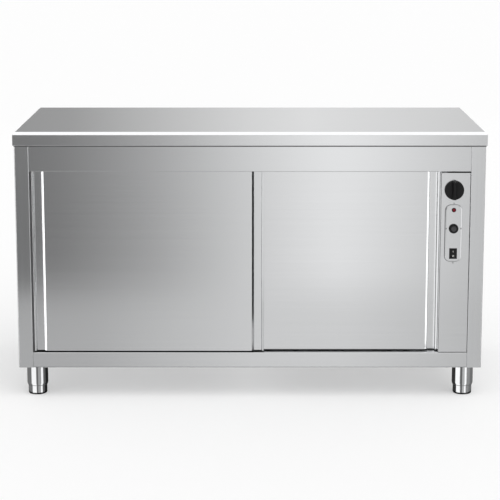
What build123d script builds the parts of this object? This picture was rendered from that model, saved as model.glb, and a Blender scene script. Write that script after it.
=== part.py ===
from build123d import *
import os
from math import asin, cos, degrees, pi, radians, sin

# Free-standing plate warmer cabinet with two top-hung sliding doors and a control bay on
# the right. Millimetres. Origin on the floor under the middle of the worktop, +Z up, the
# doors face -Y and +X is to the right of someone who stands in front of them.

# Overall size
width = 1500.0
depth = 700.0
height = 864.0
leg_height = 98.0  # floor to the underside of the body

# Worktop
lip_height = 44.0
side_overhang = 4.0
front_overhang = 3.0
top_bend_radius = 10.0
top_return = 20.0
board_thickness = 18.0
stiffener_width = 60.0
stiffener_count = 3

# Sheet metal
top_sheet = 1.5
case_sheet = 1.2
liner_sheet = 1.0
door_sheet = 0.8
bracket_sheet = 2.0
bend_radius = 2.5

# Body
post_width = 46.0
rail_height = 50.0
fascia_height = 82.5
fascia_return = 4.5
fascia_flange = 20.0
jamb_depth = 60.0
pan_return = 20.0
back_recess = 2.0
back_thickness = 30.0
roof_thickness = 40.0
partition_thickness = 20.0
duct_depth = 66.0
control_bay_width = 94.0

# Clearances
joint_gap = 0.2  # between panels that butt together
running_clearance = 0.05  # radial, pins and shafts in their bores
near_gap = 0.3  # between pieces that move past each other
panel_gap = 1.2
panel_top_gap = 3.6

# Sliding doors
door_width = 739.0
door_thickness = 17.5
door_side_gap = 5.5
door_end_gap = 1.0
door_floor_gap = 4.4
door_cover = 14.5  # hidden behind the fascia
door_setback = 6.0
door_pitch = 20.5
grip_lip = 6.5
grip_floor = 25.0
grip_slant = 7.0
grip_depth = 12.0
door_fold_radius = 1.8
door_back_flange = 12.0
guide_slot = 5.0
guide_slot_depth = 14.0
guide_slot_margin = 4.0

# Door running gear, depths measured from the face of its door
wheel_inset = 60.0
tread_radius = 11.0
wheel_radius = 13.5
wheel_width = 7.0
wheel_depth = 8.75
groove_width = 2.6
axle_radius = 3.0
axle_head_radius = 4.5
axle_head = 1.2
hanger_depth = 2.0
hanger_width = 50.0
hanger_neck = 17.0
hanger_shoulder = 4.0
hanger_foot = 12.0
hanger_screw_radius = 4.5
hanger_screw_head = 2.5
hanger_screw_spacing = 30.0
track_sheet = 1.5
track_web_depth = 15.0
track_lift = 8.0  # door top to the underside of the track
track_rib = 2.0
track_rib_height = 6.0
track_height = 40.0
track_flange = 8.0
buffer_length = 8.0
buffer_height = 18.0
guide_length = 40.0
guide_fin = 3.0
guide_base = 3.0
guide_height = 14.0

# Chamber
shelf_level = 460.0
shelf_fold = 25.0
shelf_slot_length = 70.0
shelf_slot_width = 12.0
shelf_slot_columns = 11
shelf_slot_rows = 3
shelf_slot_pitch_x = 105.0
shelf_slot_pitch_y = 170.0
shelf_gap = 1.0
upright_width = 18.0
upright_depth = 6.0
upright_margin = 12.0
upright_spread = 230.0
upright_slots = 8
upright_slot_height = 10.0
upright_slot_width = 6.0
clip_width = 14.0
clip_height = 22.0
clip_tongue = 20.0
clip_sheet = 2.0

# Hot air unit
fan_level = 465.0
fan_depth = 10.0
fan_radius = 70.0
fan_width = 32.0
fan_hub_radius = 16.0
fan_blades = 8
fan_blade_sheet = 1.5
fan_disc = 1.5
fan_ring_opening = 49.0
fan_blade_root = 3.0  # sunk in the hub
fan_blade_tip = 2.0  # short of the rim
fan_shaft_radius = 4.0
fan_stand_off = 8.0
shaft_opening = 14.0
motor_radius = 36.0
motor_length = 58.0
motor_flange = 96.0
motor_flange_sheet = 3.0
motor_cap_radius = 24.0
motor_cap_length = 10.0
motor_bore = 29.0
heater_radius = 92.0
heater_tube = 4.25
heater_leg_spread = 15.0
heater_facets = 6
heater_flange_height = 26.0
heater_flange_margin = 12.0
heater_leg_tail = 16.0
inlet_slots = 12
inlet_slot_length = 34.0
inlet_slot_width = 7.0
inlet_inner_radius = 22.0
outlet_slots = 5
outlet_slot_length = 70.0
outlet_slot_width = 9.0
outlet_pitch = 110.0
outlet_margin = 30.0

# Controls
control_shift = 5.0  # the controls stand left of the panel's middle
knob_drop = 58.5  # these drops are from the fascia's lower edge
plate_drop = 106.0
lamp_drop = 122.5
button_drop = 182.5
rocker_drop = 263.5
panel_fold = 15.0
plate_width = 53.0
plate_height = 183.0
plate_thickness = 2.0
plate_corner = 18.0
plate_slope = 3.5
plate_slope_depth = 0.7
knob_radius = 31.0
knob_depth = 20.0
knob_skirt = 8.0
knob_flutes = 36
knob_flute_depth = 1.0
knob_grip_width = 15.0
knob_grip_taper = 6.0
knob_edge = 1.5
knob_crown_edge = 0.9
knob_gap = 1.2
spindle_radius = 3.0
spindle_engagement = 13.0
spindle_tail = 22.0
thermostat_size = 42.0
thermostat_depth = 30.0
thermostat_corner = 5.0
bush_radius = 6.0
lamp_radius = 6.7
lamp_rise = 3.0
lamp_edge = 1.8
lamp_barrel_radius = 5.0
lamp_barrel_length = 24.0
bezel_radius = 15.3
bezel_rise = 4.5
bezel_edge = 1.5
button_radius = 10.0
button_rise = 9.0
button_clearance = 0.1
button_travel = 4.0
button_length = 22.0
button_barrel_radius = 12.5
button_barrel_length = 34.0
rocker_frame_width = 24.6
rocker_frame_height = 34.2
rocker_frame_rise = 2.0
rocker_frame_edge = 1.0
rocker_width = 18.4
rocker_radius = 13.9
rocker_tilt = 9.0
rocker_rise = 2.2
rocker_depth = 5.0
rocker_box_depth = 24.0
rocker_wall = 1.5
rocker_pin_radius = 1.5
rocker_pin_length = 1.2

# Screws
screw_head_radius = 3.2
screw_head = 1.4
plate_screw_margin = 4.5

# Rear of the control bay
cover_width = 84.0
cover_height = 560.0
cover_bottom = 170.0
cover_lap = 8.0
louvre_count = 12
louvre_pitch = 30.0
louvre_width = 54.0
louvre_height = 10.0
louvre_rise = 5.0
louvre_brow = 3.5  # upright part of the hood
louvre_sheet = 1.0
louvre_offset = 150.0
gland_level = 220.0
gland_flange_radius = 12.0
gland_length = 14.0
gland_edge = 3.5
gland_nut_length = 5.0
gland_thread_radius = 8.0
gland_bore_radius = 4.5
terminal_width = 30.0
terminal_height = 60.0
terminal_depth = 22.0
terminal_level = 330.0
terminal_ways = 5
terminal_way_size = 6.0
terminal_way_depth = 10.0

# Feet
foot_centre_x = 693.5
foot_front_inset = 55.0
foot_rear_inset = 58.0
sleeve_radius = 34.0
sleeve_wall = 2.0
sleeve_cap = 3.0
sleeve_taper = 1.3
sleeve_taper_height = 5.2
foot_exposed = 31.4
foot_radius = 30.4
foot_hidden = 8.0
foot_rounding = 5.0
stem_radius = 10.0
stem_top = 80.0
insert_bottom = 58.0

# Planes that follow from the sizes above
body_half = width / 2 - side_overhang
body_front = -depth / 2 + front_overhang
body_back = depth / 2
body_bottom = leg_height
body_top = height - lip_height
post_inner = body_half - post_width
sill = body_bottom + rail_height
fascia_bottom = body_top - fascia_height
bay_left = post_inner - control_bay_width
frame_half = post_inner - joint_gap
back_face = body_back - back_recess
back_inner = back_face - back_thickness
header_front = body_front + jamb_depth - case_sheet * 2
chamber_front = header_front + case_sheet
ceiling = body_top - roof_thickness
partition_left = bay_left - partition_thickness
duct_face = partition_left - duct_depth
chamber_left = -post_inner + liner_sheet
floor_top = sill + liner_sheet
chamber_back = back_inner - liner_sheet
door_bottom = sill + door_floor_gap
door_top = fascia_bottom + door_cover
door_height = door_top - door_bottom
front_door_face = body_front + door_setback
rear_door_face = front_door_face + door_pitch
left_door_x = -post_inner + door_side_gap
right_door_x = bay_left - door_end_gap - door_width
door_travel = right_door_x - left_door_x
track_bottom = door_top + track_lift
rib_top = track_bottom + track_rib_height
track_top = track_bottom + track_height
axle_level = rib_top + tread_radius + near_gap
panel_x = bay_left + control_bay_width / 2
control_x = panel_x - control_shift
knob_level = fascia_bottom - knob_drop
lamp_level = fascia_bottom - lamp_drop
button_level = fascia_bottom - button_drop
rocker_level = fascia_bottom - rocker_drop
plate_top = fascia_bottom - plate_drop
plate_bottom = plate_top - plate_height
plate_face = body_front - plate_thickness


def block(x0, x1, y0, y1, z0, z1):
    """Box between two corners."""
    middle = Pos((x0 + x1) / 2, (y0 + y1) / 2, (z0 + z1) / 2)
    return middle * Box(x1 - x0, y1 - y0, z1 - z0)


def rod(start, radius, length, axis):
    """Cylinder from a point along +X, +Y or +Z."""
    turn = {"X": Rot(0, 90, 0), "Y": Rot(-90, 0, 0), "Z": Rot(0, 0, 0)}[axis]
    align = (Align.CENTER, Align.CENTER, Align.MIN)
    return Pos(*start) * turn * Cylinder(radius, length, align=align)


def hexagon(start, radius, length, axis):
    """Six-sided head from a point along +Y or +Z, its radius taken over the corners."""
    turn = {"Y": Rot(-90, 0, 0), "Z": Rot(0, 0, 0)}[axis]
    return Pos(*start) * turn * extrude(RegularPolygon(radius, 6), length)


def outer_bends(shape, axis, side, radius):
    """Round the edges along one axis on the lowest or highest side in Y."""
    edges = shape.edges().filter_by(axis).group_by(Axis.Y)[side]
    return fillet(edges, radius)


def solid_group(shapes):
    """Several separate solids that share one node."""
    return Compound(children=[s for shape in shapes for s in shape.solids()])


# Worktop


def make_worktop_skin():
    """Top sheet bent down into a lip all round, with a return under it."""
    outer = block(-width / 2, width / 2, -depth / 2, depth / 2, body_top, height)
    outer = fillet(outer.faces().sort_by(Axis.Z)[-1].edges(), top_bend_radius)
    outer = fillet(outer.faces().sort_by(Axis.Z)[0].edges(), bend_radius)
    x = width / 2 - top_sheet
    y = depth / 2 - top_sheet
    hollow = block(-x, x, -y, y, body_top + top_sheet, height - top_sheet)
    hollow = fillet(hollow.faces().sort_by(Axis.Z)[-1].edges(), top_bend_radius - top_sheet)
    x = width / 2 - top_return
    y = depth / 2 - top_return
    window = block(-x, x, -y, y, body_top, height - lip_height / 2)
    return outer - hollow - window


def make_worktop_core():
    """Board bonded under the top sheet."""
    x = width / 2 - top_bend_radius
    y = depth / 2 - top_bend_radius
    top = height - top_sheet
    return block(-x, x, -y, y, top - board_thickness, top)


def make_worktop_stiffeners():
    """Channels from front to back between the board and the returns."""
    low = body_top + top_sheet
    high = height - top_sheet - board_thickness
    y = depth / 2 - top_sheet - joint_gap
    half = stiffener_width / 2
    pitch = width / stiffener_count
    channels = []
    for i in range(stiffener_count):
        x = (i - (stiffener_count - 1) / 2) * pitch
        channel = block(x - half, x + half, -y, y, low, high)
        inside = half - case_sheet
        channel -= block(x - inside, x + inside, -y, y, low, high - case_sheet)
        channels.append(channel)
    return solid_group(channels)


# Body


def make_side_shell(side):
    """Side wall with its front and rear posts, folded round the insulation."""
    x0, x1 = post_inner, body_half
    outer = block(x0, x1, body_front, body_back, body_bottom, body_top)
    outer = outer_bends(outer, Axis.Z, 0, bend_radius)
    outer = fillet(outer.edges().group_by(Axis.Y)[0].sort_by(Axis.Z)[-1], bend_radius)
    t = case_sheet
    hollow = block(x0 + t, x1 - t, body_front + t, body_back - t, body_bottom + t, body_top - t)
    y0 = body_front + jamb_depth
    y1 = back_inner - pan_return
    window = block(x0, x0 + t, y0, y1, sill + pan_return, ceiling - pan_return)
    shell = outer - hollow - window
    return shell if side > 0 else mirror(shell, Plane.YZ)


def make_base_tray():
    """Floor pan whose front fold is the bottom rail and sill."""
    t = case_sheet
    x = frame_half
    outer = block(-x, x, body_front, body_back, body_bottom, sill)
    outer = outer_bends(outer, Axis.X, 0, bend_radius)
    hollow = block(-x + t, x - t, body_front + t, body_back - t, body_bottom + t, sill - t)
    y0 = body_front + jamb_depth
    y1 = back_inner - pan_return
    window = block(-x + pan_return, x - pan_return, y0, y1, sill - t, sill)
    return outer - hollow - window


def make_back_shell():
    """Rear wall pan, with an opening behind the control bay."""
    t = case_sheet
    x = frame_half
    outer = block(-x, x, back_inner, back_face, sill, body_top)
    hollow = block(-x + t, x - t, back_inner + t, back_face - t, sill + t, body_top - t)
    inner_x = bay_left - pan_return
    z0, z1 = sill + pan_return, ceiling - pan_return
    window = block(-x + pan_return, inner_x, back_inner, back_inner + t, z0, z1)
    half = cover_width / 2 - cover_lap
    z0, z1 = cover_bottom + cover_lap, cover_bottom + cover_height - cover_lap
    service = block(panel_x - half, panel_x + half, back_inner, back_face, z0, z1)
    return outer - hollow - window - service


def make_ceiling_tray():
    """Chamber ceiling and the insulated roof over it."""
    t = case_sheet
    x = frame_half
    y0, y1 = chamber_front, back_inner
    outer = block(-x, x, y0, y1, ceiling, body_top)
    hollow = block(-x + t, x - t, y0 + t, y1 - t, ceiling + t, body_top - t)
    r = pan_return
    window = block(-x + r, x - r, y0 + r, y1 - r, body_top - t, body_top)
    return outer - hollow - window


def make_front_fascia():
    """Panel over the doors, folded back at its top and bottom."""
    t = case_sheet
    x = frame_half
    y1 = body_front + fascia_flange
    outer = block(-x, x, body_front, y1, fascia_bottom, body_top)
    outer = outer_bends(outer, Axis.X, 0, bend_radius)
    outer -= block(-x, x, body_front + t, y1, fascia_bottom + t, body_top - t)
    return outer - block(-x, x, body_front + fascia_return, y1, fascia_bottom, fascia_bottom + t)


def make_track_carrier():
    """Angle across the top of the door opening that carries both tracks."""
    x = frame_half
    y0 = body_front + case_sheet
    top = block(-x, x, y0, chamber_front, track_top, track_top + bracket_sheet)
    low = door_top - bracket_sheet
    return top + block(-x, x, header_front, chamber_front, low, track_top + bracket_sheet)


def make_bay_wall():
    """Sheet between the chamber and the control bay, flanged at its front."""
    t = case_sheet
    y0 = body_front + panel_fold
    wall = block(bay_left, bay_left + t, y0, back_inner, sill, ceiling)
    wall += block(bay_left, bay_left + pan_return, y0, y0 + t, sill, fascia_bottom)
    wall -= block(bay_left, bay_left + t, y0, chamber_front, door_top - bracket_sheet, ceiling)
    wall -= rod((bay_left, fan_depth, fan_level), shaft_opening, t, "X")
    return cut_heater_legs(wall, bay_left, t)


def cut_heater_legs(shape, x, run):
    """Holes for the two legs of the heating ring."""
    for sign in (-1, 1):
        y = fan_depth + sign * heater_leg_spread
        z = fan_level + (heater_radius**2 - heater_leg_spread**2) ** 0.5
        shape -= rod((x, y, z), heater_tube + near_gap, run, "X")
    return shape


def make_partition_pan():
    """Insulated wall on the chamber's right, open towards the bay wall."""
    t = liner_sheet
    x0, x1 = partition_left, bay_left
    y0, y1 = chamber_front, back_inner
    pan = block(x0, x1, y0, y1, sill, ceiling)
    pan -= block(x0 + t, x1, y0 + t, y1 - t, sill + t, ceiling - t)
    pan -= rod((x0, fan_depth, fan_level), shaft_opening, t, "X")
    return cut_heater_legs(pan, x0, t)


def make_left_liner():
    """Chamber's left wall."""
    return block(-post_inner, chamber_left, chamber_front, back_inner, sill, ceiling)


def make_back_liner():
    """Chamber's rear wall."""
    return block(chamber_left, partition_left, chamber_back, back_inner, sill, ceiling)


def make_floor_panel():
    """Chamber's floor."""
    return block(chamber_left, partition_left, chamber_front, chamber_back, sill, floor_top)


def make_insulation():
    """Mineral wool slabs in the walls, floor and roof."""
    t = case_sheet
    y0, y1 = body_front + t, body_back - t
    z0, z1 = body_bottom + t, body_top - t
    right = block(post_inner + t, body_half - t, y0, y1, z0, z1)
    left = mirror(right, Plane.YZ)
    x = frame_half - t
    base = block(-x, x, y0, y1, z0, sill - t)
    inner_x = bay_left - pan_return
    back = block(-x, inner_x, back_inner + t, back_face - t, sill + t, z1)
    roof = block(-x, x, chamber_front + t, back_inner - t, ceiling + t, z1)
    t = liner_sheet
    x0 = partition_left + t
    wall = block(x0, bay_left, chamber_front + t, back_inner - t, sill + t, ceiling - t)
    wall -= rod((x0, fan_depth, fan_level), shaft_opening, partition_thickness, "X")
    wall = cut_heater_legs(wall, x0, partition_thickness)
    return solid_group([left, right, base, back, roof, wall])


# Doors and their running gear


def door_outline():
    """Plan of a door's outside, with a recessed grip along each upright edge."""
    w = door_width
    half = [
        (0, 0),
        (grip_lip, 0),
        (grip_lip, grip_depth),
        (grip_lip + grip_floor, grip_depth),
        (grip_lip + grip_floor + grip_slant, 0),
    ]
    points = half + [(w - x, y) for x, y in reversed(half)]
    points += [(w, door_thickness), (0, door_thickness)]
    outline = make_face(Polyline(*points, close=True))
    folds = outline.vertices().filter_by(lambda vertex: vertex.Y < door_thickness)
    return fillet(folds, door_fold_radius)


def door_prism(inset, z0, z1):
    """The door's outline, drawn in by an inset and raised between two heights."""
    face = door_outline()
    if inset:
        face = offset(face, -inset, kind=Kind.INTERSECTION)
    return Pos(0, 0, z0) * extrude(face, z1 - z0)


def slot_ends():
    """Ends of the guide slot along a door."""
    end = grip_lip + grip_floor + grip_slant + guide_slot_margin
    return end, door_width - end


def make_door_skin():
    """Outer sheet folded round both upright edges, top and bottom."""
    t = door_sheet
    skin = door_prism(0, 0, door_height) - door_prism(t, t, door_height - t)
    x0, x1 = door_back_flange, door_width - door_back_flange
    z0, z1 = door_back_flange, door_height - door_back_flange
    skin -= block(x0, x1, door_thickness - t, door_thickness, z0, z1)
    start, end = slot_ends()
    middle = door_thickness / 2
    half = guide_slot / 2
    channel = block(
        start - t, end + t, middle - half - t, middle + half + t, 0, guide_slot_depth + t
    )
    slot = block(start, end, middle - half, middle + half, 0, guide_slot_depth)
    return skin + channel - slot


def make_door_back():
    """Flat sheet that closes the door's rear between the folds."""
    edge = door_back_flange + joint_gap
    y0 = door_thickness - door_sheet
    return block(edge, door_width - edge, y0, door_thickness, edge, door_height - edge)


def door_filling(x0, x1):
    """What fills the door between two places along it."""
    t = door_sheet
    inside = door_prism(t, t, door_height - t)
    return inside & block(x0, x1, 0, door_thickness, 0, door_height)


def make_door_core():
    """Insulating slab between the two grips."""
    edge = grip_lip + grip_floor
    slab = door_filling(edge, door_width - edge)
    start, end = slot_ends()
    t = door_sheet
    middle = door_thickness / 2
    half = guide_slot / 2 + t
    return slab - block(start - t, end + t, middle - half, middle + half, 0, guide_slot_depth + t)


def make_door_edge_bars():
    """Flat bars that stiffen the lip and the floor of each grip."""
    w = door_width
    lip = grip_lip - door_sheet
    edge = grip_lip + grip_floor
    spans = [(0, lip), (lip, edge), (w - edge, w - lip), (w - lip, w)]
    return solid_group([door_filling(x0, x1) for x0, x1 in spans])


def hanger_outline(x, half, low, high):
    """Upright plate of a hanger, narrowed towards the axle."""
    shoulder_z = low + hanger_shoulder
    neck = hanger_neck / 2
    points = [(-half, low), (half, low), (half, shoulder_z), (neck, high)]
    points += [(-neck, high), (-half, shoulder_z)]
    return Pos(x, 0) * make_face(Polyline(*points, close=True))


def make_door_hangers():
    """Two brackets on the door's top, each with a screwed foot and an axle."""
    brackets = []
    z0 = door_height
    z1 = axle_level - door_bottom
    y0 = hanger_depth
    y1 = hanger_depth + bracket_sheet
    wheel_front = wheel_depth - wheel_width / 2
    wheel_rear = wheel_depth + wheel_width / 2
    for x in (wheel_inset, door_width - wheel_inset):
        half = hanger_width / 2
        plate = Plane.XZ.offset(-y1) * hanger_outline(x, half, z0, z1 + axle_radius * 2)
        bracket = extrude(plate, bracket_sheet)
        bracket += block(x - half, x + half, y0, y0 + hanger_foot, z0, z0 + bracket_sheet)
        for sign in (-1, 1):
            spot = (x + sign * hanger_screw_spacing / 2, (y1 + y0 + hanger_foot) / 2, z0)
            length = bracket_sheet + hanger_screw_head
            bracket += hexagon(spot, hanger_screw_radius, length, "Z")
        collar = wheel_front - near_gap - y1
        bracket += hexagon((x, y1, z1), axle_head_radius, collar, "Y")
        bracket += rod((x, y1, z1), axle_radius, wheel_rear + near_gap - y1, "Y")
        bracket += hexagon((x, wheel_rear + near_gap, z1), axle_head_radius, axle_head, "Y")
        brackets.append(bracket)
    return solid_group(brackets)


def make_wheel():
    """Grooved nylon wheel, its axis along Y."""
    half = wheel_width / 2
    bore = axle_radius + running_clearance
    groove = groove_width / 2
    points = [
        (bore, -half),
        (wheel_radius, -half),
        (wheel_radius, -groove),
        (tread_radius, -groove),
        (tread_radius, groove),
        (wheel_radius, groove),
        (wheel_radius, half),
        (bore, half),
    ]
    section = Plane.XZ * make_face(Polyline(*points, close=True))
    return Rot(-90, 0, 0) * revolve(section, Axis.Z)


def make_door_wheel(door_x, door_face, inset):
    """A wheel on its axle."""
    return Pos(door_x + inset, door_face + wheel_depth, axle_level) * make_wheel()


def track_section(face):
    """Section of one track in YZ: web, flanges and the rib that the wheels run on."""
    y1 = face + track_web_depth + track_sheet
    y0 = face + wheel_depth - track_rib / 2
    web = Pos(y1 - track_sheet / 2, (track_bottom + track_top) / 2) * Rectangle(
        track_sheet, track_height
    )
    foot = Pos((y0 + y1) / 2, track_bottom + track_sheet / 2) * Rectangle(y1 - y0, track_sheet)
    rib = Pos(y0 + track_rib / 2, track_bottom + track_rib_height / 2) * Rectangle(
        track_rib, track_rib_height
    )
    head = Pos(y1 - track_flange / 2, track_top - track_sheet / 2) * Rectangle(
        track_flange, track_sheet
    )
    return web + foot + rib + head


def make_door_tracks():
    """Front and rear tracks under the carrier."""
    x0, x1 = -frame_half, bay_left - joint_gap
    tracks = []
    for face in (front_door_face, rear_door_face):
        section = Plane.YZ * track_section(face)
        tracks.append(Pos(x0, 0, 0) * extrude(section, x1 - x0))
    return solid_group(tracks)


def make_door_buffers():
    """Rubber stops on the tracks, where the wheels end their run."""
    reach = wheel_inset - wheel_radius - near_gap
    first = left_door_x + reach
    last = left_door_x + door_travel + door_width - reach
    buffers = []
    for face in (front_door_face, rear_door_face):
        y0 = face + wheel_depth + track_rib / 2
        y1 = face + track_web_depth
        z0 = track_bottom + track_sheet
        for x0 in (first - buffer_length, last):
            buffers.append(block(x0, x0 + buffer_length, y0, y1, z0, z0 + buffer_height))
    return solid_group(buffers)


def make_door_guide():
    """Moulded block on the sill with a fin in the bottom slot of each door."""
    middle = (left_door_x + right_door_x + door_width) / 2
    half = guide_length / 2
    y0 = front_door_face + door_sheet
    y1 = rear_door_face + door_thickness - door_sheet
    guide = block(middle - half, middle + half, y0, y1, sill, sill + guide_base)
    for face in (front_door_face, rear_door_face):
        y = face + door_thickness / 2
        fin = guide_fin / 2
        guide += block(middle - half, middle + half, y - fin, y + fin, sill, sill + guide_height)
    return guide


# Chamber


def make_shelf():
    """Perforated shelf, folded down round its edge."""
    t = case_sheet
    x0 = chamber_left + upright_depth + shelf_gap
    x1 = duct_face - upright_depth - shelf_gap
    y0 = chamber_front + shelf_fold
    y1 = chamber_back - shelf_fold / 2
    z0 = shelf_level - shelf_fold
    shelf = block(x0, x1, y0, y1, z0, shelf_level)
    shelf = chamfer(shelf.faces().sort_by(Axis.Z)[-1].edges(), bend_radius / 2)
    shelf -= block(x0 + t, x1 - t, y0 + t, y1 - t, z0, shelf_level - t)
    slot = Box(shelf_slot_length, shelf_slot_width, t * 2)
    middle = Pos((x0 + x1) / 2, (y0 + y1) / 2, shelf_level)
    for spot in GridLocations(
        shelf_slot_pitch_x, shelf_slot_pitch_y, shelf_slot_columns, shelf_slot_rows
    ):
        shelf -= middle * spot * slot
    return shelf


def upright_places():
    """Depths of the front and rear uprights."""
    return (fan_depth - upright_spread, fan_depth + upright_spread)


def make_upright(y):
    """Slotted strip on the left liner, open towards the wall."""
    x0, x1 = chamber_left, chamber_left + upright_depth
    half = upright_width / 2
    z0, z1 = floor_top + upright_margin, ceiling - upright_margin
    strip = block(x0, x1, y - half, y + half, z0, z1)
    t = case_sheet
    strip -= block(x0, x1 - t, y - half + t, y + half - t, z0, z1)
    pitch = (z1 - z0) / upright_slots
    wide, tall = upright_slot_width / 2, upright_slot_height / 2
    for i in range(upright_slots):
        z = z0 + (i + 0.5) * pitch
        strip -= block(x1 - t, x1, y - wide, y + wide, z - tall, z + tall)
    return strip


def facing_pair(make, y):
    """A piece on the left wall and its mirror image on the duct's face."""
    left = make(y)
    middle = (chamber_left + duct_face) / 2
    return [left, mirror(left, Plane.YZ.offset(middle))]


def make_shelf_uprights():
    """Four strips that take the shelf clips."""
    return solid_group([s for y in upright_places() for s in facing_pair(make_upright, y)])


def make_clip(y):
    """Angle on an upright with a tongue under the shelf."""
    x0 = chamber_left + upright_depth
    half = clip_width / 2
    z1 = shelf_level - shelf_fold
    clip = block(x0, x0 + shelf_gap - joint_gap, y - half, y + half, z1 - clip_height, z1)
    return clip + block(x0, x0 + clip_tongue, y - half, y + half, z1 - clip_sheet, z1)


def make_shelf_clips():
    """Four clips under the shelf."""
    return solid_group([s for y in upright_places() for s in facing_pair(make_clip, y)])


# Hot air unit


def make_duct_panel():
    """Air duct over the chamber's right wall, with an inlet rosette and outlet slots."""
    t = liner_sheet
    x0, x1 = duct_face, partition_left
    y0, y1 = chamber_front, chamber_back
    z0, z1 = floor_top, ceiling
    panel = block(x0, x1, y0, y1, z0, z1)
    panel -= block(x0 + t, x1, y0 + t, y1 - t, z0 + t, z1 - t)
    centre = Pos(x0, fan_depth, fan_level)
    inlet = Box(t * 3, inlet_slot_length, inlet_slot_width)
    reach = inlet_inner_radius + inlet_slot_length / 2
    for i in range(inlet_slots):
        panel -= centre * Rot(i * 360 / inlet_slots, 0, 0) * Pos(0, reach, 0) * inlet
    outlet = Box(t * 3, outlet_slot_width, outlet_slot_length)
    for y in (y0 + outlet_margin, y1 - outlet_margin):
        for i in range(outlet_slots):
            z = fan_level + (i - (outlet_slots - 1) / 2) * outlet_pitch
            panel -= Pos(x0, y, z) * outlet
    return panel


def make_fan_impeller():
    """Radial wheel: a back disc, blades, a front ring and the motor's shaft."""
    x1 = partition_left - fan_stand_off
    x0 = x1 - fan_width
    axis = (fan_depth, fan_level)
    wheel = rod((x1 - fan_disc, *axis), fan_radius, fan_disc, "X")
    ring = rod((x0, *axis), fan_radius, fan_disc, "X")
    ring -= rod((x0, *axis), fan_ring_opening, fan_disc, "X")
    wheel += ring
    wheel += rod((x0 + fan_disc * 2, *axis), fan_hub_radius, fan_width - fan_disc * 2, "X")
    half = fan_blade_sheet / 2
    inner = fan_hub_radius - fan_blade_root
    blade = block(x0, x1, inner, fan_radius - fan_blade_tip, -half, half)
    for i in range(fan_blades):
        turn = Rot(i * 360 / fan_blades, 0, 0)
        wheel += Pos(0, *axis) * turn * blade
    end = bay_left + case_sheet + motor_flange_sheet + motor_bore
    return wheel + rod((x0, *axis), fan_shaft_radius, end - x0, "X")


def make_fan_motor():
    """Motor on a square flange in the bay."""
    x0 = bay_left + case_sheet
    axis = (fan_depth, fan_level)
    half = motor_flange / 2
    y, z = axis
    motor = block(x0, x0 + motor_flange_sheet, y - half, y + half, z - half, z + half)
    start = x0 + motor_flange_sheet
    motor += rod((start, *axis), motor_radius, motor_length, "X")
    motor += rod((start + motor_length, *axis), motor_cap_radius, motor_cap_length, "X")
    bore = fan_shaft_radius + running_clearance
    return motor - rod((x0, *axis), bore, motor_flange_sheet + motor_bore + near_gap, "X")


def make_heating_ring():
    """Tubular element round the impeller, carried by its legs on a flange in the bay."""
    x = partition_left - fan_stand_off - fan_width / 2
    y = fan_depth
    z = fan_level
    high = z + (heater_radius**2 - heater_leg_spread**2) ** 0.5
    half_gap = degrees(asin(heater_leg_spread / heater_radius))
    centre = Plane((x, y, z), x_dir=(0, 1, 0), z_dir=(1, 0, 0)) * Rot(0, 0, 90 + half_gap)
    section = Plane.XZ * Pos(heater_radius, 0) * RegularPolygon(heater_tube, heater_facets)
    ring = centre * revolve(section, Axis.Z, revolution_arc=360 - 2 * half_gap)
    flange_x = bay_left + case_sheet
    end = flange_x + bracket_sheet + heater_leg_tail
    for sign in (-1, 1):
        spot = (x - heater_tube, y + sign * heater_leg_spread, high)
        ring += rod(spot, heater_tube, end - x + heater_tube, "X")
    half_y = heater_leg_spread + heater_flange_margin
    half_z = heater_flange_height / 2
    x1 = flange_x + bracket_sheet
    return ring + block(flange_x, x1, y - half_y, y + half_y, high - half_z, high + half_z)


# Controls


def make_control_panel():
    """Front of the control bay, folded back all round."""
    t = case_sheet
    half = control_bay_width / 2 - panel_gap
    z0, z1 = sill + panel_gap, fascia_bottom - panel_top_gap
    y0, y1 = body_front, body_front + panel_fold
    panel = block(panel_x - half, panel_x + half, y0, y1, z0, z1)
    panel = fillet(panel.faces().sort_by(Axis.Y)[0].edges(), t)
    panel -= block(panel_x - half + t, panel_x + half - t, y0 + t, y1, z0 + t, z1 - t)
    panel -= rod((control_x, y0, knob_level), bush_radius, t, "Y")
    return cut_controls(panel, y0, t)


def cut_controls(shape, y0, run):
    """Holes for the lamp, the button and the rocker switch."""
    shape -= rod((control_x, y0, lamp_level), lamp_barrel_radius, run, "Y")
    shape -= rod((control_x, y0, button_level), button_barrel_radius, run, "Y")
    half_x = rocker_width / 2 + near_gap + rocker_wall
    half_z = rocker_radius + near_gap + rocker_wall
    z = rocker_level
    return shape - block(control_x - half_x, control_x + half_x, y0, y0 + run, z - half_z, z + half_z)


def make_control_plate():
    """Raised plate round the lamp, the button and the switch."""
    half = plate_width / 2
    plate = block(control_x - half, control_x + half, plate_face, body_front, plate_bottom, plate_top)
    plate = fillet(plate.edges().filter_by(Axis.Y), plate_corner)
    front = plate.faces().sort_by(Axis.Y)[0]
    plate = chamfer(front.edges(), plate_slope, plate_slope_depth, reference=front)
    return cut_controls(plate, plate_face, plate_thickness)


def make_thermostat_body():
    """Thermostat behind the panel, its bush through the panel."""
    y0 = body_front + case_sheet
    half = thermostat_size / 2
    z = knob_level
    body = block(control_x - half, control_x + half, y0, y0 + thermostat_depth, z - half, z + half)
    body = fillet(body.edges().filter_by(Axis.Y), thermostat_corner)
    body += rod((control_x, body_front, z), bush_radius, case_sheet, "Y")
    bore = spindle_radius + running_clearance
    return body - rod((control_x, body_front, z), bore, spindle_tail + near_gap, "Y")


def make_thermostat_spindle():
    """Spindle that the knob turns."""
    start = body_front - knob_gap - spindle_engagement
    length = knob_gap + spindle_engagement + spindle_tail
    return rod((control_x, start, knob_level), spindle_radius, length, "Y")


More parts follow.
